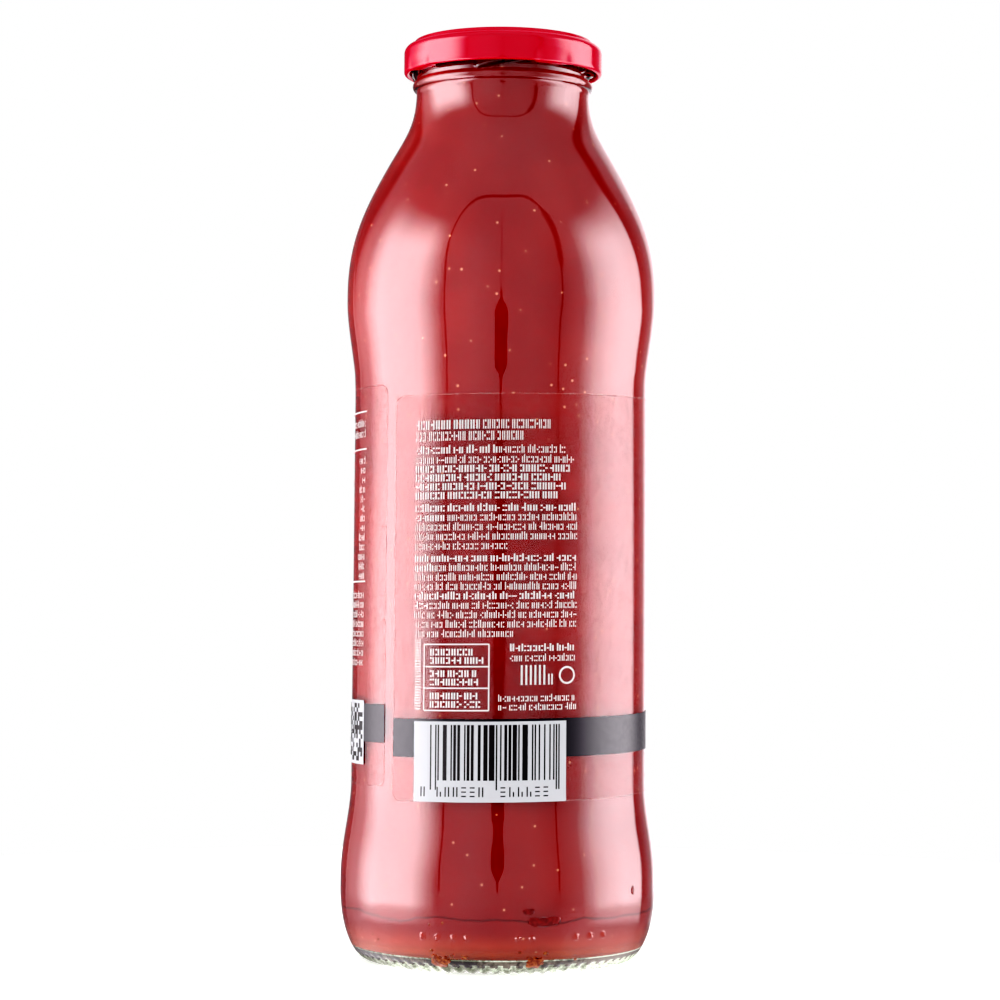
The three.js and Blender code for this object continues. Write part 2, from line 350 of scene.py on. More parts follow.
def passataMaterial():
    material, tree = newMaterial("passataPulp")
    cloud = grain(tree, 38.0, 4.0, 0.6)
    colour = blend(tree, fade(tree, cloud, 0.3, 0.75), pulp["deep"], pulp["bright"])
    height = addNode(tree, "ShaderNodeSeparateXYZ", {0: objectPlace(tree)}).outputs[2]
    # Painted light: towards the bottom the pulp is drawn lighter and more orange, in two steps
    paintedThinGlow = fade(tree, height, pulp["paintedThinGlowTo"] * mm, pulp["paintedThinGlowFrom"] * mm, 1.0, 0.0)
    colour = blend(tree, paintedThinGlow, colour, pulp["paintedThinGlow"])
    foot = fade(tree, height, pulp["paintedFootGlowTo"] * mm, pulp["paintedFootGlowFrom"] * mm, 1.0, 0.0)
    colour = blend(tree, foot, colour, pulp["foot"])
    wave = calc(tree, "SUBTRACT", grain(tree, 60.0, 5.0, 0.6), 0.5)
    level = calc(tree, "ADD", height, calc(tree, "MULTIPLY", wave, pulp["lineWave"] * mm))
    edge = pulp["lineWidth"] * mm
    line = between(tree, level, pulp["lineLevel"] * mm - edge, edge, pulp["lineLevel"] * mm + edge, edge)
    colour = blend(tree, calc(tree, "MULTIPLY", line, 0.85), colour, pulp["line"])
    cells = addNode(tree, "ShaderNodeTexVoronoi", {"Vector": objectPlace(tree), "Scale": 330.0})
    near = fade(tree, cells.outputs["Distance"], 0.07, 0.13, 1.0, 0.0)
    pick = addNode(tree, "ShaderNodeSeparateColor", {0: cells.outputs["Color"]}).outputs[0]
    speck = calc(tree, "MULTIPLY", near, fade(tree, pick, 0.45, 0.47))
    sauce = addNode(tree, "ShaderNodeBsdfPrincipled", {
        "Base Color": blend(tree, speck, colour, pulp["speck"]), "Roughness": 0.6,
        "Specular IOR Level": 0.0})
    setSurface(tree, sauce)
    return material


def lacquerMaterial(name, colour, roughness, coat):
    material, tree = newMaterial(name)
    skin = relief(tree, grain(tree, 1500.0, 2.0), 0.05, 0.0001)
    lacquer = addNode(tree, "ShaderNodeBsdfPrincipled", {
        "Base Color": colour, "Roughness": roughness, "Specular IOR Level": 0.0,
        "Coat Weight": coat, "Coat Roughness": 0.12, "Normal": skin})
    setSurface(tree, lacquer)
    return material


def hazeMaterial(name, low, high, colour):
    material, tree = newMaterial(name)
    haze = addNode(tree, "ShaderNodeBsdfPrincipled", {
        "Base Color": colour, "Roughness": 0.35, "Specular IOR Level": 0.5,
        "Alpha": fade(tree, grain(tree, 600.0, 4.0, 0.7), 0.4, 0.7, low, high)})
    setSurface(tree, haze)
    return material


def inkMaterial(name, colour, roughness):
    material, tree = newMaterial(name)
    wear = fade(tree, grain(tree, 900.0, 3.0), 0.2, 0.8, roughness - 0.06, roughness + 0.06)
    ink = addNode(tree, "ShaderNodeBsdfPrincipled", {
        "Base Color": colour, "Roughness": wear, "Specular IOR Level": 0.35})
    setSurface(tree, ink)
    return material


# Opaque foot glass. The near-black band drawn with it is painted shade on clear glass; the pale ring is
# partly the frosted glass's own paleness, partly painted light shining through it
def footMaterial(name, dark, pale, roughness, specular):
    material, tree = newMaterial(name)
    patches = calc(tree, "ADD", calc(tree, "MULTIPLY", grain(tree, 700.0, 3.0, 0.65), 0.5),
                   calc(tree, "MULTIPLY", grain(tree, 45.0, 1.0), 0.5))
    foot = addNode(tree, "ShaderNodeBsdfPrincipled", {
        "Base Color": blend(tree, fade(tree, patches, 0.4, 0.58), dark, pale), "Roughness": roughness,
        "IOR": 1.52, "Specular IOR Level": specular, "Normal": relief(tree, patches, 0.5, 0.0003)})
    setSurface(tree, foot)
    return material


bareGlass = glassMaterial("bareGlass", 0.02, (0.955, 0.975, 0.955, 1), 1.52)
paleFootPaintedLight = footMaterial("paleFootPaintedLight", (0.16, 0.18, 0.11, 1), (0.8, 0.88, 0.72, 1), 0.25, 0.5)
paintedShadeFoot = footMaterial("paintedShadeFoot", (0.012, 0.01, 0.008, 1), (0.2, 0.17, 0.13, 1), 0.15, 0.5)
coveredGlass = glassMaterial("coveredGlass", 0.1, (0.97, 0.96, 0.94, 1), 1.48)
print("materials")


# The outline of the glass in millimetres: radius and height, as on the CAD solid
outline = {
    "puntHeight": 4.2, "footInner": 28.6, "footOuter": 31.8, "heelHeight": 17,
    "belly": (39, 20), "panelBottom": (36.55, 44), "panelTop": (36.3, 142),
    "shoulderLow": (38.5, 162.5), "shoulderHigh": (38.5, 164.5),
    "slope": (29.15, 195.7), "slopeLean": 0.55, "neck": (21.6, 216),
    "bead": (22.6, 2.4), "finish": 21.6, "bore": 18.8, "rim": 226.8, "rimRounding": 0.7,
    "wall": 2.5, "floorEdge": (30.3, 4.5), "floorCentre": 8.5, "sideTop": 214, "heelRadius": 38,
}


def curve(start, end, handles, steps, leanLow=0.0, leanHigh=0.0):
    (r0, z0), (r1, z1), (low, high) = start, end, handles
    corners = [(r0, z0), (r0 - leanLow * low, z0 + low), (r1 + leanHigh * high, z1 - high), (r1, z1)]
    points = []
    for i in range(steps + 1):
        t = i / steps
        weights = ((1 - t) ** 3, 3 * (1 - t) ** 2 * t, 3 * (1 - t) * t * t, t ** 3)
        points.append(tuple(sum(w * c[k] for w, c in zip(weights, corners)) for k in (0, 1)))
    return points


def arc(centre, radii, start, end, steps):
    angles = [math.radians(start + (end - start) * i / steps) for i in range(steps + 1)]
    return [(centre[0] + radii[0] * math.cos(a), centre[1] + radii[1] * math.sin(a)) for a in angles]


def straight(start, end, steps):
    return [tuple(Vector(start).lerp(Vector(end), i / steps)) for i in range(steps + 1)]


def tidy(points):
    kept = [points[0]]
    for p in points[1:]:
        if math.dist(p, kept[-1]) > 0.02:
            kept.append(p)
    return kept


def wallOutline():
    o = outline
    return tidy(
        curve(o["belly"], o["panelBottom"], (9, 8), 16)
        + straight(o["panelBottom"], o["panelTop"], 14)
        + curve(o["panelTop"], o["shoulderLow"], (5, 6), 10)
        + curve(o["shoulderHigh"], o["slope"], (13, 10), 18, 0.0, o["slopeLean"])
        + curve(o["slope"], o["neck"], (8, 9), 18, o["slopeLean"], 0.0))


def outerOutline():
    o = outline
    beadMiddle = o["neck"][1] + o["bead"][1] / 2
    beadTop = o["neck"][1] + o["bead"][1]
    rimLevel = o["rim"] - o["rimRounding"]
    return tidy(
        [(0, o["puntHeight"])]
        + curve((o["footInner"] * 0.2, o["puntHeight"]), (o["footInner"] * 0.9, 1.3), (0, 1.2), 6)
        + straight((o["footInner"] * 0.94, 0.9), (o["footInner"], 0), 3)
        + straight((o["footInner"], 0), (o["footOuter"], 0), 5)
        + arc((o["footOuter"], o["heelHeight"]),
              (o["belly"][0] - o["footOuter"], o["heelHeight"]), -90, 0, 26)
        + wallOutline()
        + arc((o["neck"][0], beadMiddle), (o["bead"][0] - o["neck"][0], o["bead"][1] / 2), -90, 90, 10)
        + straight((o["finish"], beadTop), (o["finish"], rimLevel), 26)
        + arc((o["finish"] - o["rimRounding"], rimLevel), (o["rimRounding"],) * 2, 0, 90, 4)
        + arc((o["bore"] + o["rimRounding"], rimLevel), (o["rimRounding"],) * 2, 90, 180, 4))


# Floor to bore, moved inwards by inset
def innerOutline(inset, top):
    o = outline
    wall = []
    points = wallOutline()
    for i, p in enumerate(points):
        before, after = Vector(points[max(i - 1, 0)]), Vector(points[min(i + 1, len(points) - 1)])
        along = (after - before).normalized()
        wall.append((p[0] - along.y * (o["wall"] + inset), p[1] + along.x * (o["wall"] + inset)))
    edge, bore = o["floorEdge"], o["bore"] - inset
    heel = arc((edge[0] - inset, o["belly"][1]),
               (o["belly"][0] - o["wall"] - edge[0], o["belly"][1] - edge[1] - inset), -90, 0, 10)[:-1]
    return tidy(
        [(0, o["floorCentre"] + inset), (edge[0] / 2, o["floorCentre"] - 1 + inset)] + heel
        + [p for p in wall if p[0] > bore] + [(bore, top)])


outerPoints = outerOutline()
sidePoints = [p for p in outerPoints if p[1] > 1 and p[0] > 30 and p[1] < outline["sideTop"]]


# The outside radius of the glass at a height, between heel and neck
def radiusAt(height):
    for (r0, z0), (r1, z1) in zip(sidePoints, sidePoints[1:]):
        if z0 <= height <= z1:
            return r0 + (r1 - r0) * (height - z0) / (z1 - z0)
    return sidePoints[-1][0]


# A closed bmesh: the outline turned round the Z axis
def spun(points, steps, startAngle=0.0):
    bm = bmesh.new()
    turn = Matrix.Rotation(math.radians(startAngle - 90), 3, "Z")
    verts = [bm.verts.new(turn @ Vector((r * mm, 0, z * mm))) for r, z in points]
    edges = [bm.edges.new(pair) for pair in zip(verts, verts[1:])]
    bmesh.ops.spin(bm, geom=verts + edges, cent=(0, 0, 0), axis=(0, 0, 1), dvec=(0, 0, 0),
                   angle=math.tau, steps=steps, use_merge=True, use_duplicate=False)
    bmesh.ops.remove_doubles(bm, verts=bm.verts[:], dist=1e-6)
    bmesh.ops.recalc_face_normals(bm, faces=bm.faces[:])
    return bm


def azimuthOf(place):
    return math.degrees(math.atan2(place.x, -place.y))


# Smooth faces, with the edges between faces that meet at a larger angle (in radians) kept sharp
def finish(bm, name, materials, replaced=(), sharpFrom=4.0):
    for face in bm.faces:
        face.smooth = True
    for edge in bm.edges:
        edge.smooth = edge.calc_face_angle(0.0) < sharpFrom
    piece = addPiece(bm, name, materials)
    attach(piece, "root")
    if replaced:
        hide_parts(*replaced)
    return piece


# The film label wraps round the panel. Its far end sits a little higher than its start.
film = {"start": -43.6, "sweep": 355, "bottom": 40.7, "height": 97.1, "skew": 3.1, "corner": 2.5,
        "lift": 0.03, "thickness": 0.1, "rim": 0.25, "inkThickness": 0.02, "inkLift": 0.01,
        "inkLevel": 0.03}
filmLength = math.radians(film["sweep"]) * outline["panelBottom"][0]


# How far the label's rows have risen at an azimuth; the gap leads back to the start
def filmRise(azimuth):
    along = (azimuth - film["start"]) % 360
    if along <= film["sweep"]:
        return film["skew"] * along / film["sweep"]
    return film["skew"] * (360 - along) / (360 - film["sweep"])


# What shapes the glass beyond its outline
glassDetail = {
    "steps": 360, "knurls": 72, "knurlDepth": 0.45, "knurlTop": 2.6, "knurlSlant": 0.1,
    # the foot's teeth, its painted shade band and its pale line reach up to these heights
    "toothLow": 1.8, "toothTop": 2.5, "paintedShadeBandTop": 3.45, "lineTop": 3.8,
    "threads": 4, "threadStart": -18, "threadSweep": 76, "threadLow": 218.9, "threadRise": 4.7,
    "threadEase": 0.7, "threadWidth": 1.0, "threadReach": 1.35,
    "seams": (-72, 108), "seamHeight": 0.1, "wave": 0.035, "heelWave": 0.1,
    "dots": (-27.5, -21.9, -16, -10.6, 7.4, 12.6, 29.9, 35.5, 41), "dotLevel": 9.2, "dotRadius": 0.9,
    "dotHeight": 0.75, "dotSlope": 0.25,
}


# A row of small raised marks on the heel
def raiseDots(bm):
    d = glassDetail
    level = d["dotLevel"] * mm
    heel = outline["heelRadius"] * mm
    outer = []
    for face in bm.faces:
        middle = face.calc_center_median()
        outside = face.normal.xy.dot(middle.xy) > 0 and middle.xy.length > 35 * mm
        if outside and abs(middle.z - level) < 2.6 * mm:
            outer.append(face)
    for azimuth in d["dots"]:
        turn = math.radians(azimuth)
        place = Vector((heel * math.sin(turn), -heel * math.cos(turn), level))
        around = (v for f in outer if f.is_valid for v in f.verts)
        centre = min(around, key=lambda v: (v.co - place).length).co.copy()
        near = [f for f in outer if f.is_valid and (f.calc_center_median() - centre).length < 1.7 * mm]
        edges = dict.fromkeys(e for f in near for e in f.edges)
        made = bmesh.ops.subdivide_edges(bm, edges=list(edges), cuts=3, use_grid_fill=True)
        inside = {v for part in made["geom"] if isinstance(part, bmesh.types.BMFace) for v in part.verts}
        outwards = Vector((math.sin(turn), -math.cos(turn), -d["dotSlope"])).normalized()
        for vert in inside:
            share = 1 - (vert.co - centre).length / (d["dotRadius"] * mm)
            if share > 0:
                vert.co += outwards * d["dotHeight"] * mm * math.sin(share * math.pi / 2)


def addGlass():
    o, d = outline, glassDetail
    levels = (d["toothLow"], d["toothTop"], d["paintedShadeBandTop"], d["lineTop"],
              film["bottom"], film["bottom"] + film["height"])
    points = []
    for (r0, z0), (r1, z1) in zip(outerPoints, outerPoints[1:]):
        points.append((r0, z0))
        points += [(r0 + (r1 - r0) * (z - z0) / (z1 - z0), z) for z in levels
                   if z0 + 0.05 < z < z1 - 0.05 and r0 > o["footOuter"] - 0.1]
    points.append(outerPoints[-1])
    points += innerOutline(0, o["rim"] - o["rimRounding"])[::-1]
    bm = spun(points, d["steps"], film["start"])
    bm.normal_update()
    for vert in bm.verts:
        radius, z = vert.co.xy.length / mm, vert.co.z / mm
        if radius < 15 or vert.normal.xy.dot(vert.co.xy) < 0 and z > 5:
            continue        # the punt and the inside stay as they are
        azimuth = azimuthOf(vert.co)
        outwards = Vector((vert.co.x, vert.co.y, 0)).normalized()
        if z < d["knurlTop"] and radius > o["footInner"] - 0.5:
            phase = azimuth * d["knurls"] / 360 + (radius - o["footOuter"]) * d["knurlSlant"]
            valley = min(max(0.5 - 0.7 * math.cos(math.tau * phase), 0), 1)
            valley *= ease((d["knurlTop"] - z) / 0.8) * ease((radius - o["footInner"]) / 0.6 + 0.2)
            vert.co -= vert.normal * d["knurlDepth"] * valley * mm
        elif z < o["sideTop"]:
            if 30 < z < 150:
                inside = ease((z - 30) / 9) * ease((150 - z) / 9)
                z += filmRise(azimuth) * inside
                radius = radiusAt(z)
            seam = max(max(0, 1 - abs((azimuth - s + 180) % 360 - 180) / 1.2) for s in d["seams"])
            wave = noise.noise(vert.co / (26 * mm)) * d["wave"]
            heel = ease((z - 3) / 4) * ease((19 - z) / 6)
            wave += noise.noise(vert.co / (7 * mm)) * d["heelWave"] * heel
            radius += wave + seam * d["seamHeight"]
            vert.co = outwards * radius * mm + Vector((0, 0, z * mm))
        elif z > o["neck"][1] + o["bead"][1]:
            lift = 0.0
            for i in range(d["threads"]):
                along = (azimuth - d["threadStart"] - i * 360 / d["threads"]) % 360
                t = along / d["threadSweep"]
                if t <= 1.05:
                    middle = d["threadLow"] + d["threadRise"] * t * (1 + d["threadEase"] * (1 - t))
                    ends = ease(along / 3 + 0.2) * ease((1.05 - t) * 12)
                    lift = max(lift, ends * ease(1.2 - abs(z - middle) / d["threadWidth"]))
            vert.co += outwards * lift * d["threadReach"] * mm * (radius > 21)
    bmesh.ops.recalc_face_normals(bm, faces=bm.faces[:])
    raiseDots(bm)
    for face in bm.faces:
        centre = face.calc_center_median()
        azimuth, z = azimuthOf(centre), centre.z / mm
        low = film["bottom"] + filmRise(azimuth)
        within = low < z < low + film["height"]
        covered = (azimuth - film["start"]) % 360 < film["sweep"]
        face.material_index = int(within and covered and centre.xy.length > 35 * mm)
        # Painted shade: a near-black band round the foot, between a pale lower ring and a pale line that are
        # partly painted light
        if z < d["lineTop"] and centre.xy.length > (o["footInner"] - 0.3) * mm:      # the stippled foot
            tooth = (azimuth * d["knurls"] / 360) % 1 < 0.5
            pale = z < d["toothLow"] or z < d["toothTop"] and tooth or z > d["paintedShadeBandTop"]
            face.material_index = 2 if pale else 3
    materials = [bareGlass, coveredGlass, paleFootPaintedLight, paintedShadeFoot]
    return finish(bm, "bottle_glass", materials, ["glass_bottle"])


addGlass()
print("glass")


# The contents reach a little into the wall, so that no air shows between them
passata = {"overlap": 0.08, "level": 222, "steps": 180}


def addPassata():
    points = innerOutline(-passata["overlap"], passata["level"]) + [(0, passata["level"])]
    bm = spun(points, passata["steps"])
    return finish(bm, "passata_fill", [passataMaterial()], ["passata"])


addPassata()
print("passata")


# Sauce left on the outside. Each mark has an azimuth, in degrees, and a height, width and
# height of its own, in millimetres.
marks = {
    "dried_sauce": {
        "places": [(-21.4, 3.1, 4.6, 2.5), (-23.5, 4.0, 2.0, 1.4), (14.6, 3.1, 4.2, 2.5),
                   (13.0, 4.2, 2.0, 1.0), (-17, 4.6, 1.0, 0.7), (18.3, 5.4, 1.1, 0.9),
                   (-24.6, 5.8, 0.8, 0.8), (8.4, 5.8, 0.7, 0.6), (-12, 4.4, 1.6, 0.6),
                   (31, 3.6, 0.8, 0.5), (-49, 7.2, 0.6, 0.7), (-52, 8.2, 0.5, 0.5),
                   (-24.5, 12.1, 0.6, 0.5), (-19.5, 12.6, 0.5, 0.6), (152, 3.5, 3.0, 1.8),
                   (-118, 3.4, 2.2, 1.4)],
        "thick": 0.5, "deep": (0.15, 0.024, 0.01, 1), "pale": (0.42, 0.13, 0.05, 1)},
    "smudges": {
        "places": [(17.0, 13.1, 7.0, 2.2), (13.2, 13.4, 2.6, 1.6), (20.5, 13.3, 3.0, 2.0),
                   (11, 15.6, 2.6, 1.2), (57, 19.0, 1.0, 2.0)],
        "thick": 0.2, "deep": (0.1, 0.001, 0.003, 1), "pale": (0.22, 0.012, 0.012, 1)},
}


def addMarks(name):
    m = marks[name]
    bm = bmesh.new()
    for i, (azimuth, level, width, height) in enumerate(m["places"]):
        ball = bmesh.ops.create_icosphere(bm, subdivisions=4, radius=1)["verts"]
        turn = Matrix.Rotation(math.radians(azimuth), 3, "Z")
        thick = min(m["thick"], 0.2 * min(width, height))
        for vert in ball:
            rough = 1 + 0.5 * noise.noise(vert.co * 1.9 + Vector((7.0 * i, 0, 0)))
            aside, above = vert.co.x * rough * width / 2, level + vert.co.z * rough * height / 2
            radius = radiusAt(max(above, 1.2)) * math.cos(aside / outline["heelRadius"])
            vert.co = turn @ Vector((aside, -radius - vert.co.y * thick, above)) * mm
    bmesh.ops.recalc_face_normals(bm, faces=bm.faces[:])
    material, tree = newMaterial(name + "_crust")
    crust = addNode(tree, "ShaderNodeBsdfPrincipled", {
        "Base Color": blend(tree, fade(tree, grain(tree, 1400.0, 3.0), 0.35, 0.65), m["deep"], m["pale"]),
        "Roughness": 0.4, "Normal": relief(tree, grain(tree, 1800.0), 0.4, 0.0002)})
    setSurface(tree, crust)
    return finish(bm, name, [material])


for name in marks:
    addMarks(name)
print("marks")


# The pressed lid, in millimetres
lid = {
    "radius": 24.8, "top": 228.4, "bottom": 220.1, "sheet": 0.3, "curl": 0.75, "shoulder": 2.0,
    "step": 0.95, "ring": (18.9, 22.3), "panel": (17.9, 0.95), "button": (10, 0.35, 0.25),
    "seal": 227.1, "steps": 240, "lugs": 4, "lugAngle": 31, "lugSweep": 21, "lugReach": 1.9, "dent": 0.3,
}


def lidOutline():
    d = lid
    inside, middle = d["radius"] - d["sheet"], d["radius"] - d["curl"]
    curlStart = math.degrees(math.acos((d["curl"] - d["sheet"]) / d["curl"]))
    shoulderLevel = d["top"] - d["step"]
    shoulderMiddle = d["radius"] - d["shoulder"]
    panel = d["top"] - d["panel"][1]
    button, bead, dish = d["button"]
    under = panel - d["sheet"]
    return tidy(
        [(0, under - dish), (button * 0.5, under - dish * 0.8), (button - 1, under), (d["panel"][0], under),
         (d["ring"][0] - d["sheet"], d["seal"]), (shoulderMiddle, d["seal"])]
        + arc((shoulderMiddle, shoulderLevel - d["shoulder"]),
              (d["shoulder"] - d["sheet"],) * 2, 80, 0, 6)
        + straight((inside, shoulderLevel - d["shoulder"]), (inside, d["bottom"] + 1.7), 4)
        + arc((middle, d["bottom"] + d["curl"]), (d["curl"],) * 2, curlStart, 360, 18)
        + straight((d["radius"], d["bottom"] + d["curl"]), (d["radius"], shoulderLevel - d["shoulder"]), 10)
        + arc((shoulderMiddle, shoulderLevel - d["shoulder"]), (d["shoulder"],) * 2, 0, 90, 12)
        + curve((d["ring"][1] + 0.35, shoulderLevel), (d["ring"][1] - 0.1, d["top"]), (0.15, 0.15), 3)
        + curve((d["ring"][0] + 0.4, d["top"]), (d["panel"][0], panel), (-0.3, -0.4), 6)
        + [(button + 2.4, panel)]
        + arc((button + 0.9, panel), (1.2, bead), 0, 180, 8)
        + [(button - 1.2, panel - dish * 0.4), (button * 0.5, panel - dish * 0.85), (0, panel - dish)])


def addLid():
    d = lid
    bm = spun(lidOutline(), d["steps"])
    for vert in bm.verts:
        z, radius = vert.co.z / mm, vert.co.xy.length / mm
        if z > d["bottom"] + 4 or radius < 20:
            continue
        azimuth = azimuthOf(vert.co)
        away = abs((azimuth - d["lugAngle"] + 180 / d["lugs"]) % (360 / d["lugs"]) - 180 / d["lugs"])
        near = ease((d["lugSweep"] / 2 + 2.5 - away) / 5)
        low = ease((d["bottom"] + 1.6 - z) / 0.9)
        innermost = ease((d["radius"] - 0.35 - radius) / 0.7)
        shift = near * (low * innermost * d["lugReach"] + d["dent"] * ease((d["bottom"] + 4 - z) / 3))
        vert.co.xy -= vert.co.xy.normalized() * shift * mm
    bmesh.ops.recalc_face_normals(bm, faces=bm.faces[:])
    for face in bm.faces:
        centre = face.calc_center_median()
        inwards = face.normal.xy.dot(centre.xy) < 0 or face.normal.z < -0.5
        face.material_index = int(inwards and centre.z > (d["bottom"] + 1.2) * mm
                                  and face.normal.z < 0.5 and centre.xy.length > 12 * mm
                                  or face.normal.z < -0.9 and centre.z > 225 * mm)
    red = lacquerMaterial("redLacquer", (0.93, 0.0, 0.062, 1), 0.3, 0.8)
    pale = lacquerMaterial("paleLacquer", (0.62, 0.58, 0.5, 1), 0.4, 0.3)
    return finish(bm, "lid_lacquered", [red, pale], ["lid"])


addLid()
print("lid")


# The label. Its print is laid out in millimetres from its start, rightwards and upwards.

# Bends a flat bmesh in label millimetres round the glass; its own z becomes height off the glass
def roundBottle(bm, lift):
    for vert in bm.verts:
        along = math.degrees(vert.co.x / outline["panelBottom"][0])
        azimuth = film["start"] + along
        z = film["bottom"] + vert.co.y + film["skew"] * along / film["sweep"]
        radius = radiusAt(z) + lift + vert.co.z
        turn = math.radians(azimuth)
        vert.co = Vector((radius * math.sin(turn), -radius * math.cos(turn), z)) * mm


# A strip with rounded corners: the columns next to its ends follow the corners, and a narrow rim
# shows all round it
def addFilm():
    bm = bmesh.new()
    corner, cornerSteps, steps, rows = film["corner"], 8, 180, 32
    columns = steps + 2 * cornerSteps
    bmesh.ops.create_grid(bm, x_segments=columns, y_segments=rows, size=0.5)
    for face in bm.faces:
        middle = face.calc_center_median()
        fromEnd = (0.5 - abs(middle.x)) * columns
        fromSide = (0.5 - abs(middle.y)) * rows
        face.material_index = int(fromEnd < 2 or fromSide < 1)
    for vert in bm.verts:
        column = round((vert.co.x + 0.5) * columns)
        fromEnd = min(column, columns - column)
        turn = math.radians(90 * min(fromEnd / cornerSteps, 1))
        inset = corner * (1 - math.sin(turn))
        x = corner * (1 - math.cos(turn))
        if fromEnd > cornerSteps:
            x = corner + (filmLength - 2 * corner) * (column - cornerSteps) / steps
        elif column > columns / 2:
            x = filmLength - x
        row = round((vert.co.y + 0.5) * rows)
        share = (row - 1) / (rows - 2)
        upright = film["height"] - 2 * inset
        y = film["rim"] + share * (upright - 2 * film["rim"])
        vert.co.x = x
        vert.co.y = inset + min(max(y, 0), upright)
    bmesh.ops.recalc_face_normals(bm, faces=bm.faces[:])
    bmesh.ops.solidify(bm, geom=bm.faces[:], thickness=-film["thickness"])
    roundBottle(bm, film["lift"])
    bmesh.ops.recalc_face_normals(bm, faces=bm.faces[:])
    body = hazeMaterial("filmHaze", 0.0, 0.03, (0.9, 0.75, 0.74, 1))
    edge = hazeMaterial("filmEdge", 0.02, 0.3, (0.92, 0.72, 0.7, 1))
    return finish(bm, "label_clear_film", [body, edge], ["label_film"], sharpFrom=0.6)


addFilm()
print("label film")


# Gives flat shapes the thickness of ink and lays them on the film; a higher level lies over a lower one
def finishPrint(bm, name, colour, level, roughness):
    bmesh.ops.recalc_face_normals(bm, faces=bm.faces[:])
    for face in bm.faces:
        if face.normal.z < 0:
            face.normal_flip()
    bmesh.ops.solidify(bm, geom=bm.faces[:], thickness=-film["inkThickness"])
    roundBottle(bm, film["lift"] + film["thickness"] + film["inkLift"] + film["inkLevel"] * level)
    bmesh.ops.recalc_face_normals(bm, faces=bm.faces[:])
    return finish(bm, name, [inkMaterial(name + "_ink", colour, roughness)], sharpFrom=0.6)


# Flat rectangles (x, y, width, height) and rings (x, y, radius, width)
def addPrint(name, boxes, colour, level, roughness=0.4, rings=()):
    bm = bmesh.new()
    for x, y, radius, width in rings:
        place = Matrix.Translation((x, y, 0))
        loops = [bmesh.ops.create_circle(bm, segments=40, radius=across, matrix=place)["verts"]
                 for across in (radius - width, radius)]
        edges = dict.fromkeys(edge for loop in loops for vert in loop for edge in vert.link_edges)
        bmesh.ops.bridge_loops(bm, edges=list(edges))
    for x, y, width, height in boxes:
        place = Matrix.Translation((x + width / 2, y + height / 2, 0))
        bmesh.ops.create_grid(bm, x_segments=max(1, math.ceil(width / 1.5)),
                              y_segments=max(1, math.ceil(height / 2.6)), size=0.5,
                              matrix=place @ Matrix.Diagonal((width, height, 1, 1)))
    return finishPrint(bm, name, colour, level, roughness)


ticks = {"fine": 0.27, "bold": 0.42, "gap": 0.2, "letter": 0.14, "space": 0.45, "low": 0.76}


# A row of fine upright ticks in groups, as dense as a line of small print
def tickRow(draw, left, base, right, height, boldTo=0.0, capitals=False, fromRight=False):
    boxes, x = [], left
    tall = height if capitals else height * ticks["low"]
    while x < right - 0.8:
        for i in range(draw.randint(2, 9) * 2):
            wide = ticks["bold"] if x < boldTo else ticks["fine"]
            if x + wide > right:
                break
            kind = draw.random()
            if kind < 0.5:
                boxes.append((x, base, wide, tall))
            elif kind < 0.66:
                boxes.append((x, base, wide, height))
            elif kind < 0.88:
                boxes.append((x, base, wide * 1.2, tall * 0.26))
                boxes.append((x, base + tall * 0.74, wide * 1.2, tall * 0.26))
            else:
                boxes.append((x, base + tall * 0.4, wide * 1.5, tall * 0.22))
            x += wide + ticks["gap"] + ticks["letter"] * (i % 2)
        x += ticks["space"]
    if fromRight and boxes:
        shift = right - (boxes[-1][0] + boxes[-1][2])
        boxes = [(bx + shift, by, bw, bh) for bx, by, bw, bh in boxes]
    return boxes


white = (1.0, 1.0, 1.0, 1)
ink = (0.012, 0.012, 0.016, 1)
textBlock = {
    "left": 6.35,
    "groups": [     # top, pitch, row height, right ends, where the bold part of each ends, capitals
        (90.8, 2.75, 2.2, (40.4, 33.8), (22, 0), True),
        (84.8, 2.35, 2.0, (43.8, 46.6), (27, 0), False),
        (80.0, 2.12, 1.7, (46.6, 43.0, 44.1, 42.4), (50,) * 4, True),
        (70.9, 2.27, 1.9, (47.2, 47.2, 47.2, 47.2, 29.8), (50, 15, 0, 0, 0), False),
        (58.9, 2.245, 1.85, (47.2,) * 8 + (31.9,), (50, 11.5, 0, 0, 50, 10.5, 0, 0, 0), False),
    ],
    "lowRows": [    # left, level, right end, row height, where the bold part ends
        (30.4, 35.7, 46.6, 1.8, 46.6), (30.4, 33.3, 46.8, 1.8, 0),
        (27.7, 23.8, 47.2, 1.7, 0), (27.7, 21.7, 47.2, 1.7, 0),
    ],
}
frameBox = {"left": 9.25, "right": 25.45, "bottom": 21.7, "top": 37.4, "dividers": (27.0, 32.1),
            "line": 0.36, "rows": ((2.65, 23.0), (0.65, 24.3)), "inset": 1.6, "rowHeight": 1.6}
strip = {"left": 6.6, "width": 1.8, "heights": (0.24, 0.4), "gap": 0.3}
sign = {"level": 27.7, "bars": ((33.0, 1.1, 0.5, 4.7, 6), (39.7, 0.8, 0.4, 2.6, 2)),
        "ring": (44.6, 29.9, 2.15, 0.5)}


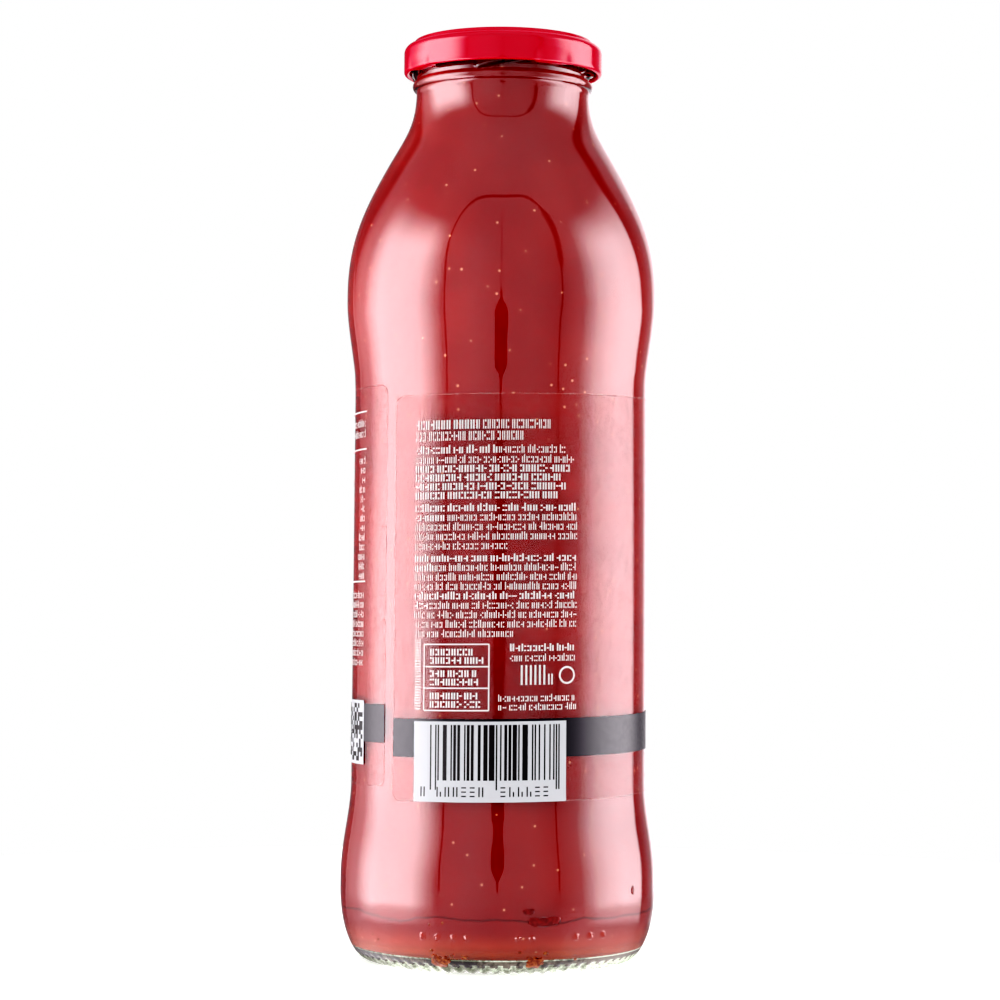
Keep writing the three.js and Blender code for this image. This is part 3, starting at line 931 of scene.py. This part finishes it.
def textRows(draw):
    boxes = []
    for top, pitch, height, ends, boldEnds, capitals in textBlock["groups"]:
        for i, (end, boldTo) in enumerate(zip(ends, boldEnds)):
            level = top - i * pitch - height
            boxes += tickRow(draw, textBlock["left"], level, end, height, boldTo, capitals)
    f = frameBox
    levels = [f["bottom"], *f["dividers"], f["top"]]
    boxes += [(f["left"], y - f["line"] / 2, f["right"] - f["left"], f["line"]) for y in levels]
    for x in (f["left"], f["right"]):
        boxes.append((x - f["line"] / 2, f["bottom"], f["line"], f["top"] - f["bottom"]))
    for y in levels[:3]:
        for row, end in f["rows"]:
            boxes += tickRow(draw, f["left"] + f["inset"], y + row, end, f["rowHeight"], 50, True)
    y = f["bottom"] + 0.2
    while y < f["top"] + 1:        # the upright strip beside the frame
        height = draw.uniform(*strip["heights"])
        boxes.append((strip["left"], y, strip["width"], height))
        y += height + strip["gap"]
    for row in textBlock["lowRows"]:
        boxes += tickRow(draw, *row)
    for left, pitch, width, height, count in sign["bars"]:
        boxes += [(left + i * pitch, sign["level"], width, height) for i in range(count)]
    return boxes


sidePanel = {"left": 176.0, "right": 216.9, "inset": 0.8, "rules": (90.9, 81.7, 49.3), "line": 0.4,
             "title": (87.4, 2.6, 2), "list": (78.3, 2.35, 13), "note": (45.4, 2.35, 8),
             "titleHeight": 1.9, "rowHeight": 1.8}


def levelsFrom(top, pitch, count):
    return [top - pitch * i for i in range(count)]


def panelRows(draw):
    s = sidePanel
    left, right, height = s["left"], s["right"], s["rowHeight"]
    end = right - s["inset"]
    boxes = [(left, y, right - left, s["line"]) for y in s["rules"]]
    for y in levelsFrom(*s["title"]):
        boxes += tickRow(draw, right - 12, y, end, s["titleHeight"], fromRight=True)
    for y in levelsFrom(*s["list"]):
        boxes += tickRow(draw, left, y, left + draw.uniform(12, 24), height)
        boxes += tickRow(draw, right - draw.uniform(3, 6), y, end, height, fromRight=True)
    for y in levelsFrom(*s["note"]):
        boxes += tickRow(draw, left + draw.uniform(2, 9), y, right - 0.9, height, fromRight=True)
    return boxes


barBox = {"left": 6.6, "bottom": 0.0, "width": 37.85, "height": 19.1,
          "bars": (11.1, 42.8), "barBottom": 5.15, "barTop": 18.3, "longBottom": 2.9, "narrow": 0.33,
          "signs": ((8.6, 1), (12.9, 6), (28.4, 6)), "signPitch": 2.06, "signBottom": 1.3,
          "signHeight": 2.3}
cellBox = {"left": 201.4, "bottom": 4.9, "side": 15.6, "corner": (202.2, 5.7), "across": 14.0, "cells": 13}


def codeBars(draw):
    b = barBox
    narrow = b["narrow"]
    bars, x, count = [], b["bars"][0], 0
    while x < b["bars"][1]:
        width = draw.choice((narrow, narrow, 0.66, 0.99, 1.3))
        guard = count in (0, 1) or abs(x - sum(b["bars"]) / 2) < 0.5 or x > b["bars"][1] - 1.2
        low = b["longBottom"] if guard else b["barBottom"]
        bars.append((x, low, narrow if guard else width, b["barTop"] - low))
        x += (narrow if guard else width) + draw.choice((narrow, narrow, 0.66, 0.99))
        count += 1
    low, tall = b["signBottom"], b["signHeight"]
    for left, signs in b["signs"]:
        for i in range(signs):
            x = left + i * b["signPitch"]
            if draw.random() < 0.5:
                bars += [(x, low, 0.3, tall), (x + 0.85, low, 0.3, tall * draw.choice((0.5, 1)))]
            else:
                bars += [(x, low + tall * share, 1.15, 0.28) for share in (0, 0.44, 0.88)]
    return bars


def codeCells(draw):
    (left, bottom), cells = cellBox["corner"], cellBox["cells"]
    side = cellBox["across"] / cells
    boxes = []
    for i in range(cells):
        for j in range(cells):
            if draw.random() < 0.5:
                boxes.append((left + i * side, bottom + j * side, side, side))
    return boxes


band = {"bottom": 10.5, "height": 9.2}


def addLabelPrint():
    draw = random.Random(7)
    addPrint("label_white_print", textRows(draw) + panelRows(draw), white, 0, rings=[sign["ring"]])
    addPrint("label_band", [(0, band["bottom"], filmLength, band["height"])], ink, 0, 0.35)
    b, c = barBox, cellBox
    addPrint("label_white_boxes", [(b["left"], b["bottom"], b["width"], b["height"]),
                                   (c["left"], c["bottom"], c["side"], c["side"])], (0.81, 0.82, 0.86, 1), 1)
    addPrint("label_bars", codeBars(draw) + codeCells(draw), (0.01, 0.01, 0.01, 1), 2, 0.45)


addLabelPrint()
print("label print")


# The side away from the photograph: a plain cream oval with a tomato, over two bars
frontDesign = {
    "middle": 143.2, "oval": (60.5, 27, 22.5), "rim": 0.7, "tomato": (66, 11.5, 9.8), "leafCount": 6,
    "leaf": (5.6, 1.5), "stalk": (0.9, 4.4), "bars": ((49.5, 34, 2.6), (45.2, 24, 1.5)), "rules": (89, 31.5),
}


def addFlat(name, colour, level, shapes, roughness=0.4):
    bm = bmesh.new()
    for x, y, halfWidth, halfHeight, turn, sides in shapes:
        place = (Matrix.Translation((x, y, 0)) @ Matrix.Rotation(math.radians(turn), 4, "Z")
                 @ Matrix.Diagonal((halfWidth, halfHeight, 1, 1)))
        bmesh.ops.create_circle(bm, cap_ends=True, cap_tris=True, segments=sides, radius=1, matrix=place)
    bmesh.ops.subdivide_edges(bm, edges=bm.edges[:], cuts=5 if shapes[0][2] > 8 else 2, use_grid_fill=True)
    return finishPrint(bm, name, colour, level, roughness)


def addFrontDesign():
    f = frontDesign
    middle, (level, halfWidth, halfHeight) = f["middle"], f["oval"]
    addFlat("label_front_rim", (0.42, 0.02, 0.02, 1), 1, [(middle, level, halfWidth, halfHeight, 0, 72)])
    addFlat("label_front_oval", (0.86, 0.8, 0.68, 1), 2,
            [(middle, level, halfWidth - f["rim"], halfHeight - f["rim"], 0, 72)])
    tomato = f["tomato"]
    addFlat("label_front_tomato", (0.62, 0.03, 0.015, 1), 3,
            [(middle, tomato[0], tomato[1], tomato[2], 0, 48)])
    top = tomato[0] + tomato[2] - 2.2
    leaves = []
    for i in range(f["leafCount"]):
        turn = 200 + i * 140 / (f["leafCount"] - 1)
        along = math.radians(turn)
        x, y = math.cos(along) * f["leaf"][0] * 0.8, math.sin(along) * f["leaf"][0] * 0.5
        leaves.append((middle + x, top + y, f["leaf"][0], f["leaf"][1], turn, 12))
    leaves.append((middle + 0.5, top + 2.4, f["stalk"][0], f["stalk"][1], -8, 12))
    addFlat("label_front_leaves", (0.05, 0.2, 0.04, 1), 5, leaves)
    addPrint("label_front_bars", [(middle - width / 2, y, width, height) for y, width, height in f["bars"]],
             (0.06, 0.05, 0.05, 1), 3)
    draw = random.Random(11)
    rows = [(middle - 27, y, 54, 0.4) for y in f["rules"]]
    rows += tickRow(draw, middle - 15, 85.0, middle + 15, 2.0, 200, True)
    rows += tickRow(draw, middle - 20, 27.0, middle + 20, 1.8)
    rows += tickRow(draw, middle - 17, 24.4, middle + 17, 1.8)
    addPrint("label_front_rows", rows, white, 0)


addFrontDesign()
print("front design")
